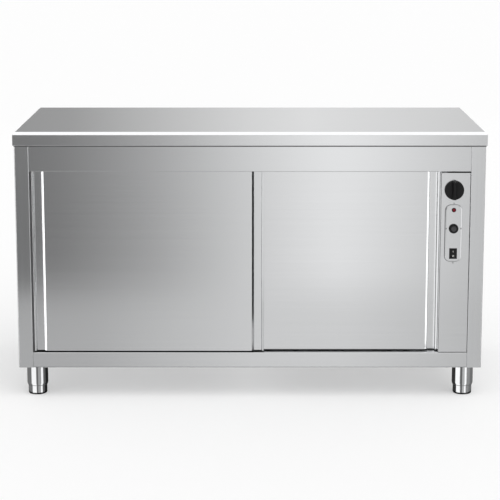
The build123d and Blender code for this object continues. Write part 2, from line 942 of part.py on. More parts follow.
def make_thermostat_knob():
    """Round knob with a fluted skirt and a bar across its face."""
    rear = body_front - knob_gap
    face = rear - knob_skirt
    z = knob_level
    teeth = []
    for i in range(2 * knob_flutes):
        angle = i * pi / knob_flutes
        reach = knob_radius - knob_flute_depth * (i % 2)
        teeth.append((reach * sin(angle), reach * cos(angle)))
    rim = make_face(Polyline(*teeth, close=True))
    knob = extrude(Plane((control_x, rear, z), z_dir=(0, -1, 0)) * rim, knob_skirt - knob_edge)
    crown = rod((control_x, face, z), knob_radius - knob_flute_depth, knob_skirt, "Y")
    knob += chamfer(crown.edges().sort_by(Axis.Y)[0], knob_edge)
    root = knob_grip_width / 2
    tip = root - knob_grip_taper / 2
    high = knob_depth - knob_skirt
    points = [(-root, 0), (root, 0), (tip, high), (-tip, high)]
    section = Plane((control_x, face, z), x_dir=(1, 0, 0), z_dir=(0, 0, 1))
    section = section * Pos(0, 0) * mirror(make_face(Polyline(*points, close=True)), Plane.XZ)
    bar = extrude(section, knob_radius, both=True)
    bar &= rod((control_x, face - high, z), knob_radius - knob_edge, high, "Y")
    knob += chamfer(bar.faces().sort_by(Axis.Y)[0].edges(), knob_crown_edge)
    return knob - rod((control_x, rear - spindle_engagement, z), spindle_radius, spindle_engagement, "Y")


def make_indicator_lamp():
    """Domed red lens on a barrel through the panel."""
    z = lamp_level
    dome = rod((control_x, plate_face - lamp_rise, z), lamp_radius, lamp_rise, "Y")
    dome = chamfer(dome.edges().sort_by(Axis.Y)[0], lamp_edge)
    length = lamp_barrel_length + plate_thickness
    return dome + rod((control_x, plate_face, z), lamp_barrel_radius, length, "Y")


def make_button_housing():
    """Push button's bezel and the barrel behind it."""
    z = button_level
    bezel = rod((control_x, plate_face - bezel_rise, z), bezel_radius, bezel_rise, "Y")
    bezel = chamfer(bezel.edges().sort_by(Axis.Y)[0], bezel_edge)
    length = button_barrel_length + plate_thickness
    body = bezel + rod((control_x, plate_face, z), button_barrel_radius, length, "Y")
    bore = button_radius + button_clearance
    stop = plate_face + button_length - button_rise + button_travel + near_gap
    start = plate_face - bezel_rise
    return body - rod((control_x, start, z), bore, stop - start, "Y")


def make_push_button():
    """Plunger of the push button, its cap rounded."""
    z = button_level
    cap = rod((control_x, plate_face - button_rise, z), button_radius, button_length, "Y")
    return chamfer(cap.edges().sort_by(Axis.Y)[0], knob_edge)


def rocker_pivot():
    """Height and depth of the rocker's pivot."""
    return plate_face + rocker_pin_radius, rocker_level


def make_rocker_housing():
    """Frame and box of the rocker switch."""
    z = rocker_level
    half_x, half_z = rocker_frame_width / 2, rocker_frame_height / 2
    y0 = plate_face - rocker_frame_rise
    frame = block(control_x - half_x, control_x + half_x, y0, plate_face, z - half_z, z + half_z)
    frame = fillet(frame.faces().sort_by(Axis.Y)[0].edges(), rocker_frame_edge)
    in_x = rocker_width / 2 + near_gap
    in_z = rocker_radius + near_gap
    wall = rocker_wall
    y1 = plate_face + rocker_box_depth
    frame += block(
        control_x - in_x - wall, control_x + in_x + wall, plate_face, y1, z - in_z - wall, z + in_z + wall
    )
    frame -= block(control_x - in_x, control_x + in_x, y0, y1 - wall, z - in_z, z + in_z)
    y, z = rocker_pivot()
    reach = in_x + rocker_pin_length
    bore = rocker_pin_radius + running_clearance
    return frame - rod((control_x - reach, y, z), bore, 2 * reach, "X")


def make_rocker():
    """Rocker with two sloping faces, pressed in at its top."""
    y, z = rocker_pivot()
    half = rocker_width / 2
    lean = rocker_radius * sin(radians(rocker_tilt))
    front = -rocker_rise - rocker_pin_radius
    points = [
        (front - lean, -rocker_radius),
        (front, 0),
        (front - lean, rocker_radius),
        (rocker_depth, rocker_radius),
        (rocker_depth, -rocker_radius),
    ]
    section = Plane.YZ * make_face(Polyline(*points, close=True))
    body = extrude(section, half, both=True)
    body &= rod((-half, 0, 0), rocker_radius, rocker_width, "X")
    pin = half + near_gap + rocker_pin_length - running_clearance
    body += rod((-pin, 0, 0), rocker_pin_radius, 2 * pin, "X")
    return Pos(control_x, y, z) * Rot(-rocker_tilt, 0, 0) * body


def make_case_screws():
    """Screws that hold the control plate and the rear cover."""
    screws = []
    for z in (plate_bottom - plate_screw_margin, plate_top + plate_screw_margin):
        spot = (control_x, body_front - screw_head, z)
        screws.append(rod(spot, screw_head_radius, screw_head, "Y"))
    half = (cover_width - cover_lap) / 2
    y = back_face + case_sheet
    low, high = cover_bottom + cover_lap / 2, cover_bottom + cover_height - cover_lap / 2
    for x in (panel_x - half, panel_x + half):
        for z in (low, (low + high) / 2, high):
            screws.append(hexagon((x, y, z), screw_head_radius, screw_head, "Y"))
    return solid_group(screws)


# Rear of the control bay


def make_louvre():
    """Pressed hood, open downwards, its back on the XZ plane."""
    high, rise, t = louvre_height, louvre_rise, louvre_sheet
    outer = make_face(Polyline((0, high), (rise, louvre_brow), (rise, 0), (0, 0), close=True))
    inner = make_face(
        Polyline((0, high - 2 * t), (rise - t, louvre_brow - t), (rise - t, 0), (0, 0), close=True)
    )
    half = louvre_width / 2
    hood = extrude(Plane.YZ * outer, half, both=True)
    return hood - extrude(Plane.YZ * inner, half - t, both=True)


def make_rear_cover():
    """Removable cover behind the control bay, with louvres and the cable entry."""
    half = cover_width / 2
    y0, y1 = back_face, back_face + case_sheet
    z0 = cover_bottom
    cover = block(panel_x - half, panel_x + half, y0, y1, z0, z0 + cover_height)
    hood = make_louvre()
    opening = louvre_width / 2 - louvre_sheet
    for i in range(louvre_count):
        z = z0 + louvre_offset + i * louvre_pitch
        tall = louvre_height - 2 * louvre_sheet
        cover -= block(panel_x - opening, panel_x + opening, y0, y1, z, z + tall)
        cover += Pos(panel_x, y1, z) * hood
    return cover - rod((panel_x, y0, gland_level), gland_thread_radius, case_sheet, "Y")


def make_cable_gland():
    """Cable gland through the rear cover, its nut inside and its cap outside."""
    y0 = back_face - gland_nut_length
    y1 = back_face + case_sheet
    z = gland_level
    plane = Plane((panel_x, y0, z), x_dir=(1, 0, 0), z_dir=(0, 1, 0))
    nut = extrude(plane * RegularPolygon(gland_flange_radius, 6), gland_nut_length)
    thread = rod((panel_x, back_face, z), gland_thread_radius, case_sheet, "Y")
    cap = rod((panel_x, y1, z), gland_flange_radius, gland_length, "Y")
    cap = chamfer(cap.edges().sort_by(Axis.Y)[-1], gland_edge)
    bore = rod((panel_x, y0, z), gland_bore_radius, y1 + gland_length - y0, "Y")
    return nut + thread + cap - bore


def make_terminal_block():
    """Row of mains terminals on the bay wall."""
    x0 = bay_left + case_sheet
    x1 = x0 + terminal_depth
    y = back_inner - terminal_height
    half_z = terminal_height / 2
    z = terminal_level
    body = block(x0, x1, y, y + terminal_width, z - half_z, z + half_z)
    pitch = terminal_height / terminal_ways
    half = terminal_way_size / 2
    for i in range(terminal_ways):
        way = z - half_z + (i + 0.5) * pitch
        body -= block(x1 - terminal_way_size, x1, y, y + terminal_way_depth, way - half, way + half)
    return body


# Feet


def foot_places():
    """Centres of the four feet."""
    front = body_front + foot_front_inset
    rear = body_back - foot_rear_inset
    return {
        "front_left": (-foot_centre_x, front),
        "front_right": (foot_centre_x, front),
        "rear_left": (-foot_centre_x, rear),
        "rear_right": (foot_centre_x, rear),
    }


def make_foot_sleeves():
    """Fixed tubes under the body, each with a threaded insert for the foot."""
    inner = sleeve_radius - sleeve_wall
    bore = stem_radius + running_clearance
    cap = body_bottom - sleeve_cap
    low = foot_exposed
    points = [
        (0, body_bottom),
        (sleeve_radius, body_bottom),
        (sleeve_radius, low + sleeve_taper_height),
        (sleeve_radius - sleeve_taper, low),
        (inner, low),
        (inner, insert_bottom),
        (bore, insert_bottom),
        (bore, cap),
        (0, cap),
    ]
    section = Plane.XZ * make_face(Polyline(*points, close=True))
    sleeve = revolve(section, Axis.Z)
    return solid_group([Pos(x, y, 0) * sleeve for x, y in foot_places().values()])


def make_levelling_foot(place):
    """Adjustable foot: a rounded cup and the stem that screws into the sleeve."""
    x, y = foot_places()[place]
    r = foot_rounding
    base = foot_radius - r
    top = foot_exposed + foot_hidden
    points = [(0, 0), (base, 0)]
    points += [(base + r * sin(a), r - r * cos(a)) for a in (pi / 4, pi / 2)]
    points += [(foot_radius, top), (stem_radius, top), (stem_radius, stem_top), (0, stem_top)]
    section = Plane.XZ * make_face(Polyline(*points, close=True))
    return Pos(x, y, 0) * revolve(section, Axis.Z)


def door_nodes(name, x, face):
    """The pieces of one door, at its place."""
    place = Pos(x, face, door_bottom)
    return {
        f"{name}_door_skin": place * make_door_skin(),
        f"{name}_door_back": place * make_door_back(),
        f"{name}_door_core": place * make_door_core(),
        f"{name}_door_edge_bars": place * make_door_edge_bars(),
        f"{name}_door_hangers": place * make_door_hangers(),
        f"{name}_door_wheel_left": make_door_wheel(x, face, wheel_inset),
        f"{name}_door_wheel_right": make_door_wheel(x, face, door_width - wheel_inset),
    }


def cabinet():
    """Every node by name."""
    nodes = {
        "worktop_skin": make_worktop_skin(),
        "worktop_core": make_worktop_core(),
        "worktop_stiffeners": make_worktop_stiffeners(),
        "left_side_shell": make_side_shell(-1),
        "right_side_shell": make_side_shell(1),
        "base_tray": make_base_tray(),
        "back_shell": make_back_shell(),
        "ceiling_tray": make_ceiling_tray(),
        "front_fascia": make_front_fascia(),
        "track_carrier": make_track_carrier(),
        "bay_wall": make_bay_wall(),
        "partition_pan": make_partition_pan(),
        "left_liner": make_left_liner(),
        "back_liner": make_back_liner(),
        "floor_panel": make_floor_panel(),
        "wall_insulation": make_insulation(),
        "door_tracks": make_door_tracks(),
        "door_buffers": make_door_buffers(),
        "door_guide": make_door_guide(),
        "shelf": make_shelf(),
        "shelf_uprights": make_shelf_uprights(),
        "shelf_clips": make_shelf_clips(),
        "duct_panel": make_duct_panel(),
        "fan_impeller": make_fan_impeller(),
        "fan_motor": make_fan_motor(),
        "heating_ring": make_heating_ring(),
        "control_panel": make_control_panel(),
        "control_plate": make_control_plate(),
        "thermostat_body": make_thermostat_body(),
        "thermostat_spindle": make_thermostat_spindle(),
        "thermostat_knob": make_thermostat_knob(),
        "indicator_lamp": make_indicator_lamp(),
        "button_housing": make_button_housing(),
        "push_button": make_push_button(),
        "rocker_housing": make_rocker_housing(),
        "rocker": make_rocker(),
        "case_screws": make_case_screws(),
        "rear_cover": make_rear_cover(),
        "cable_gland": make_cable_gland(),
        "terminal_block": make_terminal_block(),
        "foot_sleeves": make_foot_sleeves(),
    }
    for place in foot_places():
        nodes[f"foot_{place}"] = make_levelling_foot(place)
    nodes.update(door_nodes("left", left_door_x, front_door_face))
    nodes.update(door_nodes("right", right_door_x, rear_door_face))
    return nodes


os.makedirs("parts", exist_ok=True)
for node, shape in cabinet().items():
    export_step(shape, f"parts/{node}.step")
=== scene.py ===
import math

import bpy
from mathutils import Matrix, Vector
from mathutils.bvhtree import BVHTree


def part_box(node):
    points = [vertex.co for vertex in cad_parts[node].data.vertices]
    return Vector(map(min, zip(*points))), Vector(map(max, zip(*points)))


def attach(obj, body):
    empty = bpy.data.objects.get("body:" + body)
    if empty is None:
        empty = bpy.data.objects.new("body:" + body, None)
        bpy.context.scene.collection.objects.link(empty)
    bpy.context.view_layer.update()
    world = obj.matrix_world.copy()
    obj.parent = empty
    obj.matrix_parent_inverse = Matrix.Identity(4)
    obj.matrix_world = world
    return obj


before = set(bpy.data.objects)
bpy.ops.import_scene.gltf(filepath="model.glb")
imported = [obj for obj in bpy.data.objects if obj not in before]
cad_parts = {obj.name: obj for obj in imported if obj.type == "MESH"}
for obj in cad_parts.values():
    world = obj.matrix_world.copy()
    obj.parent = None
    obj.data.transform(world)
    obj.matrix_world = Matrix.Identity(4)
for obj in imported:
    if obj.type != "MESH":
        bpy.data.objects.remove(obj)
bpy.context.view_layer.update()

# ------------------------------------------------------------------ camera

CAMERA_PLACE = (0, -5.678, 1.545)
CAMERA_PITCH = 10.234  # degrees below the horizon
CAMERA_LENS = 122.6
CAMERA_SENSOR = 36.0
CAMERA_SHIFT = -0.06


def make_camera():
    """The camera at the photograph's viewing angle."""
    data = bpy.data.cameras.new("camera")
    data.lens = CAMERA_LENS
    data.sensor_width = CAMERA_SENSOR
    data.shift_y = CAMERA_SHIFT
    camera = bpy.data.objects.new("camera", data)
    bpy.context.scene.collection.objects.link(camera)
    camera.location = CAMERA_PLACE
    camera.rotation_euler = (math.radians(90 - CAMERA_PITCH), 0, 0)
    bpy.context.scene.camera = camera


# --------------------------------------------------------------- materials


NOISE_LOW, NOISE_HIGH = 0.3, 0.7  # most of a noise texture lies between these


class Nodes:
    """A material's node tree with short calls for the nodes that the finishes share."""

    def __init__(self, material):
        self.material = material
        self.tree = material.node_tree
        self.shader = self.tree.nodes["Principled BSDF"]

    def add(self, kind, **settings):
        node = self.tree.nodes.new(kind)
        for name, value in settings.items():
            setattr(node, name, value)
        return node

    def link(self, source, target):
        self.tree.links.new(source, target)

    def place(self, scale):
        """Object coordinates, stretched by a scale along each axis."""
        coordinates = self.add("ShaderNodeTexCoord")
        mapping = self.add("ShaderNodeMapping")
        mapping.inputs["Scale"].default_value = scale
        self.link(coordinates.outputs["Object"], mapping.inputs["Vector"])
        return mapping.outputs["Vector"]

    def noise(self, scale, detail=2.0, roughness=0.5):
        """Noise, with its scale along each axis."""
        texture = self.add("ShaderNodeTexNoise")
        texture.inputs["Scale"].default_value = 1.0
        texture.inputs["Detail"].default_value = detail
        texture.inputs["Roughness"].default_value = roughness
        self.link(self.place(scale), texture.inputs["Vector"])
        return texture.outputs["Fac"]

    def cells(self, size):
        """A Voronoi pattern."""
        texture = self.add("ShaderNodeTexVoronoi", feature="F1")
        texture.inputs["Scale"].default_value = size
        self.link(self.place((1, 1, 1)), texture.inputs["Vector"])
        return texture

    def ramp(self, factor, *stops):
        """Colours along a factor: each stop is (position, colour)."""
        ramp = self.add("ShaderNodeValToRGB")
        elements = ramp.color_ramp.elements
        while len(elements) < len(stops):
            elements.new(0.5)
        for element, (position, colour) in zip(elements, stops):
            element.position = position
            element.color = colour if len(colour) == 4 else (*colour, 1)
        self.link(factor, ramp.inputs["Fac"])
        return ramp.outputs["Color"]

    def spread(self, factor, low, high):
        """A noise's middle range brought to a range of numbers."""
        node = self.add("ShaderNodeMapRange")
        node.inputs["From Min"].default_value = NOISE_LOW
        node.inputs["From Max"].default_value = NOISE_HIGH
        node.inputs["To Min"].default_value = low
        node.inputs["To Max"].default_value = high
        self.link(factor, node.inputs["Value"])
        return node.outputs["Result"]

    def blend(self, factor, a, b, kind="MIX"):
        """Two colours mixed, each a colour or a socket."""
        mix = self.add("ShaderNodeMix", data_type="RGBA", blend_type=kind)
        if isinstance(factor, float):
            mix.inputs[0].default_value = factor
        else:
            self.link(factor, mix.inputs[0])
        for socket, value in ((mix.inputs[6], a), (mix.inputs[7], b)):
            if isinstance(value, tuple):
                socket.default_value = value if len(value) == 4 else (*value, 1)
            else:
                self.link(value, socket)
        return mix.outputs[2]

    def bump(self, height, strength, distance):
        """Fine relief from a height."""
        bump = self.add("ShaderNodeBump")
        bump.inputs["Strength"].default_value = strength
        bump.inputs["Distance"].default_value = distance
        self.link(height, bump.inputs["Height"])
        self.link(bump.outputs["Normal"], self.shader.inputs["Normal"])

    def finish(self, colour, rough):
        """Links colour and roughness, and gives the material."""
        self.link(colour, self.shader.inputs["Base Color"])
        self.link(rough, self.shader.inputs["Roughness"])
        return self.material


def new_material(name, metallic=0.0):
    """A new material's nodes."""
    material = bpy.data.materials.new(name)
    material.use_nodes = True
    nodes = Nodes(material)
    nodes.shader.inputs["Metallic"].default_value = metallic
    return nodes


COOL_RED, COOL_GREEN = 0.020, 0.011  # how far steel's red and green lie below its blue


def grey(value, tint=1.0):
    """A cool grey, plain at a tint of 0 and warm below it."""
    return (value * (1 - COOL_RED * tint), value * (1 - COOL_GREEN * tint), value, 1)


BRUSH_CONTRAST = 0.012
HAIRLINE = (1.2, 900.0)  # scales of the noise along and across the grain
STREAK = (0.35, 130.0)


def brushed(name, grain, level=0.80, rough=0.16, anisotropy=0.5):
    """Brushed sheet steel: grain is the brushing direction, "X", "Y" or "Z"."""
    contrast = BRUSH_CONTRAST
    nodes = new_material(name, metallic=1.0)

    def stretched(along, across):
        return tuple(along if axis == grain else across for axis in "XYZ")

    hairline = nodes.noise(stretched(*HAIRLINE), detail=2.0, roughness=0.6)
    streak = nodes.noise(stretched(*STREAK), detail=3.0, roughness=0.6)
    clouds = nodes.noise((2.5, 2.5, 2.5), detail=3.0)
    dark, light = grey(level - contrast), grey(level + contrast)
    colour = nodes.ramp(hairline, (NOISE_LOW, dark), (NOISE_HIGH, light))
    for wear in (streak, clouds):
        shade = nodes.ramp(wear, (NOISE_LOW, grey(1 - contrast, 0)), (NOISE_HIGH, grey(1.0, 0)))
        colour = nodes.blend(1.0, colour, shade, "MULTIPLY")
    nodes.shader.inputs["Anisotropic"].default_value = anisotropy
    nodes.shader.inputs["Anisotropic Rotation"].default_value = 0.25  # spread across the grain
    tangent = nodes.add("ShaderNodeCombineXYZ")
    tangent.inputs["XYZ".index(grain)].default_value = 1.0
    nodes.link(tangent.outputs["Vector"], nodes.shader.inputs["Tangent"])
    nodes.bump(hairline, 0.02, 0.0001)
    return nodes.finish(colour, nodes.spread(streak, rough - 0.01, rough + 0.01))


def satin(name, level, rough, size=60.0, contrast=0.04, tint=1.0):
    """Plain mill-finished metal with faint mottling."""
    nodes = new_material(name, metallic=1.0)
    mottle = nodes.noise((size, size, size), detail=4.0, roughness=0.6)
    clouds = nodes.noise((4.0, 4.0, 4.0), detail=3.0)
    dark, light = grey(level - contrast, tint), grey(level + contrast, tint)
    base = nodes.ramp(mottle, (NOISE_LOW, dark), (NOISE_HIGH, light))
    handled = nodes.ramp(clouds, (NOISE_LOW, grey(0.92, 0)), (NOISE_HIGH, grey(1.0, 0)))
    nodes.bump(mottle, 0.08, 0.0005)
    colour = nodes.blend(1.0, base, handled, "MULTIPLY")
    return nodes.finish(colour, nodes.spread(clouds, rough - 0.05, rough + 0.05))


def galvanised(name):
    """Zinc-coated sheet with its spangle."""
    nodes = new_material(name, metallic=1.0)
    spangle = nodes.cells(90.0)
    shade = nodes.ramp(
        spangle.outputs["Color"], (0.1, (0.42, 0.44, 0.46)), (0.9, (0.66, 0.68, 0.70))
    )
    haze = nodes.noise((9.0, 9.0, 9.0), detail=4.0)
    colour = nodes.blend(nodes.spread(haze, 0.0, 0.35), shade, (0.70, 0.70, 0.69))
    nodes.bump(spangle.outputs["Distance"], 0.1, 0.0005)
    return nodes.finish(colour, nodes.spread(haze, 0.38, 0.55))


def moulded(name, colour, rough, grain=900.0, speck=0.25, gloss=0.5):
    """Moulded or painted surface: a fine texture, slight fading and worn gloss."""
    nodes = new_material(name)
    nodes.shader.inputs["Specular IOR Level"].default_value = gloss
    texture = nodes.noise((grain, grain, grain), detail=2.0)
    fade = nodes.noise((12.0, 12.0, 12.0), detail=4.0)
    low = tuple(c * (1 - speck) for c in colour)
    high = tuple(min(1.0, c * (1 + speck)) for c in colour)
    nodes.bump(texture, 0.12, 0.0003)
    shade = nodes.ramp(fade, (NOISE_LOW, low), (NOISE_HIGH, high))
    return nodes.finish(shade, nodes.spread(fade, rough - 0.06, rough + 0.08))


LENS_DARK = (0.13, 0.002, 0.008)
LENS_LIGHT = (0.20, 0.004, 0.016)


def lens(name):
    """Red plastic of the lamp, ribbed and deep."""
    nodes = new_material(name)
    ribs = nodes.noise((700.0, 700.0, 700.0), detail=1.0)
    depth = nodes.noise((150.0, 150.0, 150.0), detail=2.0)
    nodes.shader.inputs["Specular IOR Level"].default_value = 0.25
    nodes.bump(ribs, 0.1, 0.0003)
    return nodes.finish(
        nodes.ramp(depth, (NOISE_LOW, LENS_DARK), (NOISE_HIGH, LENS_LIGHT)),
        nodes.spread(ribs, 0.12, 0.22),
    )


def fibrous(name, low, high, size, rough=0.95):
    """Wool, board and other stuff with a coarse broken surface."""
    nodes = new_material(name)
    strands = nodes.noise((size, size * 0.3, size), detail=6.0, roughness=0.75)
    nodes.bump(strands, 0.7, 0.003)
    shade = nodes.ramp(strands, (NOISE_LOW, low), (NOISE_HIGH, high))
    return nodes.finish(shade, nodes.spread(strands, rough - 0.1, rough))


def make_materials():
    """Every finish, by the name of its slot."""
    made = [
        brushed("brushed_steel", "X"),
        brushed("brushed_steel_upright", "Z", anisotropy=0.2),
        brushed("back_steel", "X", level=0.70, rough=0.38),
        brushed("liner_steel", "X", level=0.76, rough=0.20),
        brushed("control_plate_steel", "X", rough=0.15),
        satin("polished_steel", 0.80, 0.12, contrast=0.02),
        satin("screw_steel", 0.72, 0.25, size=300.0),
        satin("track_aluminium", 0.78, 0.36, size=120.0, tint=0.3),
        satin("fan_aluminium", 0.74, 0.42, size=200.0, tint=0.3),
        satin("heater_sheath", 0.30, 0.48, size=260.0, contrast=0.08, tint=-6.0),
        galvanised("galvanised_steel"),
        moulded("black_plastic", (0.014, 0.014, 0.0145), 0.50, gloss=0.12),
        moulded("black_rubber", (0.085, 0.085, 0.087), 0.75, grain=300.0),
        moulded("white_nylon", (0.74, 0.73, 0.69), 0.42, speck=0.05),
        moulded("terminal_plastic", (0.62, 0.60, 0.52), 0.5, speck=0.08),
        moulded("motor_black", (0.03, 0.03, 0.032), 0.5, grain=500.0),
        lens("red_lens"),
        fibrous("mineral_wool", (0.36, 0.30, 0.16), (0.62, 0.55, 0.36), 160.0),
        fibrous("core_board", (0.34, 0.24, 0.14), (0.62, 0.48, 0.31), 220.0, rough=0.9),
    ]
    return {material.name.split(".")[0]: material for material in made}


def dress_frame(materials):
    """Each node takes the finish of its own slot."""
    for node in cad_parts.values():
        for held in node.material_slots:
            held.material = materials[held.material.name.split(".")[0]]


# ------------------------------------------------------------ small pieces

MM = 0.001


def new_object(name, vertices, faces):
    """A mesh object in the scene."""
    mesh = bpy.data.meshes.new(name)
    mesh.from_pydata(vertices, [], faces)
    made = bpy.data.objects.new(name, mesh)
    bpy.context.scene.collection.objects.link(made)
    return made


def add_piece(name, vertices, faces, body, slot, smooth=False):
    """A piece of trim on a body, with the finish of a slot."""
    piece = new_object(name, vertices, faces)
    piece.data.polygons.foreach_set("use_smooth", [smooth] * len(faces))
    piece.data.materials.append(materials[slot])
    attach(piece, body)


def centre(node):
    """The middle of a node's box."""
    low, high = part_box(node)
    return [(a + b) / 2 for a, b in zip(low, high)]


def loft(rows, closed_rows=False):
    """Faces between rows of points; each row runs round a closed loop."""
    count = len(rows[0])
    pairs = [(r, r + 1) for r in range(len(rows) - 1)]
    if closed_rows:
        pairs.append((len(rows) - 1, 0))
    vertices = [point for row in rows for point in row]
    faces = []
    for a, b in pairs:
        for i in range(count):
            j = (i + 1) % count
            faces.append((a * count + i, a * count + j, b * count + j, b * count + i))
    if not closed_rows:
        faces.append(tuple(reversed(range(count))))
        faces.append(tuple(range((len(rows) - 1) * count, len(rows) * count)))
    return vertices, faces


ROUND_SIDES = 40
RIVET_SIDES = 20
RING_MARK_SIDES = 24


def turns_round(sides):
    """The turns, in radians, to the corners of a many-sided ring."""
    return [2 * math.pi * i / sides for i in range(sides)]


def turned(name, place, profile, body, slot, ring=False, sides=ROUND_SIDES):
    """Turned about a line along Y; the profile is (radius, distance to the front) in mm."""
    x, y, z = place
    rows = []
    for radius, out in profile:
        row = []
        for turn in turns_round(sides):
            across, up = radius * MM * math.cos(turn), radius * MM * math.sin(turn)
            row.append((x + across, y - out * MM, z + up))
        rows.append(row)
    add_piece(name, *loft(rows, closed_rows=ring), body, slot, smooth=True)


def bar_piece(name, outline, spans, body, slot):
    """An XY outline in metres carried from one height to another."""
    rows = [[(x, y, z) for x, y in outline] for z in spans]
    add_piece(name, *loft(rows), body, slot)


IN_FRONT = -1.0  # a depth well in front of the cabinet


def front_finder(node):
    """Gives the depth at which a line from the front meets a node."""
    tree = BVHTree.FromObject(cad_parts[node], bpy.context.evaluated_depsgraph_get())

    def depth(x, z):
        return tree.ray_cast(Vector((x, IN_FRONT, z)), Vector((0, 1, 0)))[0].y

    return depth


MARK_PROUD = 0.02 * MM


def inlay(name, node, body, shapes, slot="white_nylon"):
    """Flat marks laid on a node's front: each shape is a strip of (x, z) pairs of points."""
    depth = front_finder(node)
    vertices, faces = [], []
    for strip in shapes:
        for pair in strip:
            vertices += [(x, depth(x, z) - MARK_PROUD, z) for x, z in pair]
        start = len(vertices) - 2 * len(strip)
        for i in range(len(strip) - 1):
            a = start + 2 * i
            faces.append((a, a + 1, a + 3, a + 2))
    add_piece(name, vertices, faces, body, slot)


BAR_MARK_STEPS = 4


def bar_mark(x, z0, z1, width):
    """A straight upright mark, in short steps so that it follows its surface."""
    half = width / 2
    levels = [z0 + (z1 - z0) * i / BAR_MARK_STEPS for i in range(BAR_MARK_STEPS + 1)]
    return [((x - half, z), (x + half, z)) for z in levels]


def ring_mark(x, z, radius, width):
    """A round mark."""
    inner, outer = radius - width / 2, radius + width / 2
    strip = []
    for turn in turns_round(RING_MARK_SIDES) + [2 * math.pi]:
        across, up = math.cos(turn), math.sin(turn)
        strip.append(((x + inner * across, z + inner * up), (x + outer * across, z + outer * up)))
    return strip


def cross_marks(x, z, reach, width):
    """Two crossed strips, each a pair of rows."""
    half = width / 2
    flat = [((x + end, z - half), (x + end, z + half)) for end in (-reach, reach)]
    upright = [((x - half, z + end), (x + half, z + end)) for end in (-reach, reach)]
    return [flat, upright]


def round_corners(corners, radius, steps):
    """Each step round rounded corners: the middle of the corner's arc, and the turn.

    A corner is (across, up, start): its place from the middle, and the turn in degrees at
    which its arc starts.
    """
    for across, up, start in corners:
        middle = (across - math.copysign(radius, across), up - math.copysign(radius, up))
        for i in range(steps + 1):
            yield *middle, math.radians(start + 90 * i / steps)


# dark bead under the worktop's lip: painted shade for the shadow line there
SHADOW_BEAD_HEIGHT = 2.8
SHADOW_BEAD_PROUD = 1.8
SHADOW_BEAD_TUCK = 0.4  # into the joint
SHADOW_BEAD_CORNER = 3.0
SHADOW_BEAD_CORNER_STEPS = 4


def make_lip_shadow_bead():
    """Dark bead in the joint under the worktop's lip, all round the body: painted shade, standing
    for the shadow line under the lip.
    """
    x1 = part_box("right_side_shell")[1][0]
    y0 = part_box("right_side_shell")[0][1]
    y1 = max(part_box("right_side_shell")[1][1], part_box("back_shell")[1][1])
    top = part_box("front_fascia")[1][2]
    corners = [(x1, y0, -90), (x1, y1, 0), (-x1, y1, 90), (-x1, y0, 180)]
    section = [
        (-SHADOW_BEAD_TUCK, 0.0),
        (SHADOW_BEAD_PROUD * 0.7, 0.0),
        (SHADOW_BEAD_PROUD, 0.35 * SHADOW_BEAD_HEIGHT),
        (SHADOW_BEAD_PROUD * 0.8, 0.75 * SHADOW_BEAD_HEIGHT),
        (-SHADOW_BEAD_TUCK, SHADOW_BEAD_HEIGHT),
    ]
    radius = SHADOW_BEAD_CORNER * MM
    rows = []
    for x, y, turn in round_corners(corners, radius, SHADOW_BEAD_CORNER_STEPS):
        row = []
        for out, drop in section:
            reach = radius + out * MM
            row.append((x + reach * math.cos(turn), y + reach * math.sin(turn), top - drop * MM))
        rows.append(row)
    add_piece("lip_shadow_bead", *loft(rows, closed_rows=True), "cabinet", "black_rubber")


JAMB_LIFT = 0.2  # above the sill
SHADE_STRIP_GAP = 0.7  # to the left door's edge
SHADE_STRIP_DEPTH = 1.5  # behind the left door's face
SHADE_STRIP_THICKNESS = 9.0
SHADE_STRIP_CHAMFER = 0.8
RETURN_GAP = 0.02  # to the bay wall
RETURN_SHEET = 0.5
RETURN_DEPTH = 0.8  # behind the control panel's face
RETURN_REACH = 10.0  # behind the right door's face


def make_jambs():
    """Dark rubber strip beside the left post, painted shade for the dark gap there, and a folded
    return on the control bay's side.
    """
    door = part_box("left_door_skin")
    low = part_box("base_tray")[1][2] + JAMB_LIFT * MM
    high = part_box("front_fascia")[0][2]
    x0, x1 = -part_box("front_fascia")[1][0], door[0][0] - SHADE_STRIP_GAP * MM
    y0 = door[0][1] + SHADE_STRIP_DEPTH * MM
    y1 = y0 + SHADE_STRIP_THICKNESS * MM
    fold = SHADE_STRIP_CHAMFER * MM
    shade_strip = [(x0, y0), (x1 - fold, y0), (x1, y0 + fold), (x1, y1), (x0, y1)]
    # dark strip in the gap beside the left door: painted shade
    bar_piece("left_jamb_shadow_strip", shade_strip, (low, high), "cabinet", "black_rubber")
    x1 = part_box("bay_wall")[0][0] - RETURN_GAP * MM
    x0 = x1 - RETURN_SHEET * MM
    y0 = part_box("control_panel")[0][1] + RETURN_DEPTH * MM
    y1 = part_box("right_door_skin")[0][1] + RETURN_REACH * MM
    sheet = [(x0, y0), (x1, y0), (x1, y1), (x0, y1)]
    bar_piece("bay_jamb_return", sheet, (low, high), "cabinet", "polished_steel")


# black ring at each sleeve's mouth: painted shade of the groove at the split
SHADOW_RING_HEIGHT = 1.7
SHADOW_RING_INSET = 1.7
SHADOW_RING_CLEARANCE = 0.1
SHADOW_RING_TUCK = 0.3  # up into the sleeve
SHADOW_RING_TAPER = 0.3


